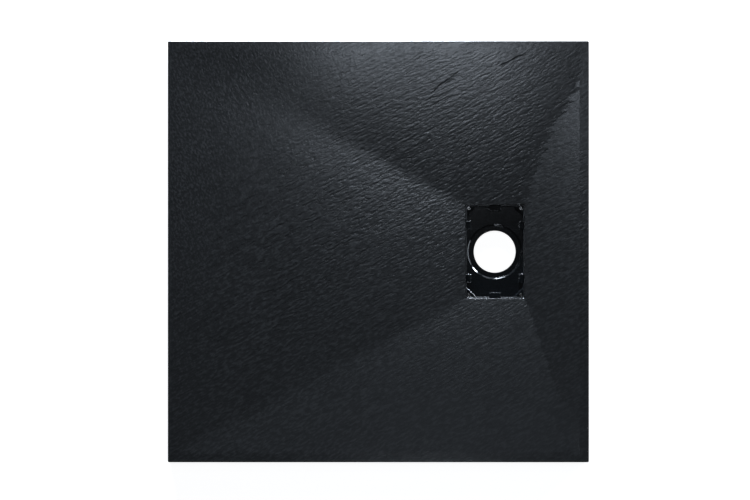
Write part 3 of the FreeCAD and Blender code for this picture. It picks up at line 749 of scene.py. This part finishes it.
def gloss_look():
    """Moulded black plastic: glossier on the pads that the cover polishes, rubbed dull along the rim."""
    look = Look("black_gloss_plastic", Specular_IOR_Level=0.75)
    colour = look.mix(look.noise(30, 2), grey(0.0045, -0.25), grey(0.0065, -0.25))
    height = look.dot(UP)
    moulded = look.spread(look.noise(70, 4), 0.3, 0.7, 0.12, 0.135)
    polished = look.spread(look.noise(70, 4), 0.3, 0.7, 0.08, 0.1)
    rubbed = look.spread(look.noise(220, 3), 0.3, 0.7, 0.26, 0.36)
    on_pads = look.spread(height, PAD_LEVEL - 0.3 * MM, PAD_LEVEL - 0.1 * MM)
    on_rim = look.spread(height, PAD_LEVEL + 2 * MM, pan_hi.z - 0.4 * MM)
    roughness = look.blend(on_rim, look.blend(on_pads, moulded, polished), rubbed)
    normal = look.bump(look.noise(95, 1), 0.03 * MM)
    return look.wear(colour, roughness, look.bump(look.noise(1400, 1), 0.012 * MM, normal))


def rubber_look():
    look = Look("seal_rubber", Specular_IOR_Level=0.35)
    colour = look.mix(look.noise(160, 3), grey(0.011), grey(0.019))
    roughness = look.spread(look.noise(300, 3), 0.3, 0.7, 0.62, 0.8)
    return look.wear(colour, roughness, look.bump(look.noise(1100, 2), 0.04 * MM))


def steel_look():
    look = Look("screw_steel", Metallic=1.0)
    brushed = look.grain(-20, (300, 6000, 900), 3, 0.6)
    colour = look.mix(look.noise(240, 2), grey(0.3, 0.01), grey(0.4, 0.01))
    roughness = look.spread(brushed, 0.3, 0.7, 0.14, 0.26)
    return look.wear(colour, roughness, look.bump(brushed, 0.01 * MM))


def brass_look():
    look = Look("brass", Metallic=1.0)
    colour = look.mix(look.noise(320, 3), (0.52, 0.33, 0.11, 1), (0.66, 0.45, 0.17, 1))
    roughness = look.spread(look.noise(500, 3), 0.3, 0.7, 0.25, 0.42)
    return look.wear(colour, roughness, look.bump(look.noise(2400, 2), 0.01 * MM))


def floor_look():
    look = Look("pale_floor", Base_Color=grey(0.55), Roughness=0.9, Emission_Strength=0.92)
    look.shader.inputs["Emission Color"].default_value = grey(1.0)
    colour = look.mix(look.noise(3, 2), grey(0.54), grey(0.56))
    return look.wear(colour)


# The pieces ------------------------------------------------------------------------------------------------

coat = bpy.data.objects.new("slate_gelcoat", make_coat())
bpy.context.scene.collection.objects.link(coat)
coat.data.materials.append(slate_look())
coat.data.materials.append(slate_edge_look())
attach(coat, "root")
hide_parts("gelcoat_skin")

steel = steel_look()
rubber = rubber_look()
for node, look in (
    ("stone_core", stone_look()),
    ("drain_pan", gloss_look()),
    ("perimeter_seal", rubber),
    ("seat_gasket", rubber),
    ("corner_screws", steel),
    ("screw_washers", steel),
    ("screw_inserts", brass_look()),
):
    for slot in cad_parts[node].material_slots:
        slot.material = look

# The studio ------------------------------------------------------------------------------------------------

FLOOR_GAP = 0.5 * MM
FLOOR_HALF = 30.0
# The overhead softboxes: place, width and height, and light.
HIGH_LIGHTS = (
    ("key", (0.265, 0.62, 3.33), (0.32, 0.32), 0.113),
    ("fill", (-0.06, 0.48, 1.45), (0.18, 0.18), 0.063),
    ("front", (0.15, -0.87, 1.5), (0.3, 0.2), 0.19),
)
# The low softboxes, all at one distance: azimuth from +X, elevation, width and height, and light.
LOW_DISTANCE = 5.8
LOW_LIGHTS = (
    ("north_softbox", 97, 4.5, (2.0, 0.8), 16.0),
    ("pad_softbox", 87, 16, (0.15, 0.35), 0.8),
    ("east_softbox", 39, 6.5, (1.0, 0.9), 2.9),
    ("between_softbox", 67, 9, (1.8, 0.8), 0.06),
    ("far_east_softbox", 2, 5, (5.0, 0.9), 0.5),
    ("west_softbox", 130, 9, (3.6, 0.8), 0.05),
    ("far_west_softbox", 180, 8, (0.3, 0.5), 0.1),
)
LAMP_COLOUR = (0.9, 1.0, 1.13)
AMBIENT_LIGHT = 0.02
CAMERA_PLACE = Vector((-0.0072, 0.0037, TOP + 5.0))
CAMERA_LENS = 112.35
CAMERA_SENSOR = 36.0


def softbox(name, place, size, light):
    """An area light that faces the tray. light is its irradiance there, square to its own direction."""
    lamp = bpy.data.lights.new(name, "AREA")
    lamp.shape = "RECTANGLE"
    lamp.color = LAMP_COLOUR
    lamp.size, lamp.size_y = size
    here = Vector(place)
    lamp.energy = light * math.pi * here.length_squared
    box = bpy.data.objects.new(name, lamp)
    box.location = here
    box.rotation_euler = (-here).to_track_quat("-Z", "Y").to_euler()
    box.visible_camera = False
    bpy.context.scene.collection.objects.link(box)


floor_mesh = bpy.data.meshes.new("floor")
floor_level = skin_lo.z - FLOOR_GAP
corners = [(x * FLOOR_HALF, y * FLOOR_HALF, floor_level) for x, y in ((-1, -1), (1, -1), (1, 1), (-1, 1))]
floor_mesh.from_pydata(corners, [], [(0, 1, 2, 3)])
floor = bpy.data.objects.new("floor", floor_mesh)
bpy.context.scene.collection.objects.link(floor)
floor_mesh.materials.append(floor_look())

for name, place, size, light in HIGH_LIGHTS:
    softbox(name, place, size, light)
for name, azimuth, elevation, size, light in LOW_LIGHTS:
    turn, rise = math.radians(azimuth), math.radians(elevation)
    flat = LOW_DISTANCE * math.cos(rise)
    place = (flat * math.cos(turn), flat * math.sin(turn), LOW_DISTANCE * math.sin(rise))
    softbox(name, place, size, light)

world = bpy.data.worlds.new("studio")
world.use_nodes = True
background = world.node_tree.nodes["Background"]
background.inputs["Color"].default_value = grey(1.0)
background.inputs["Strength"].default_value = AMBIENT_LIGHT
scene = bpy.context.scene
scene.world = world
scene.view_settings.view_transform = "Standard"

lens = bpy.data.cameras.new("camera")
lens.sensor_width = CAMERA_SENSOR
lens.lens = CAMERA_LENS
camera = bpy.data.objects.new("camera", lens)
camera.location = CAMERA_PLACE
scene.collection.objects.link(camera)
scene.camera = camera
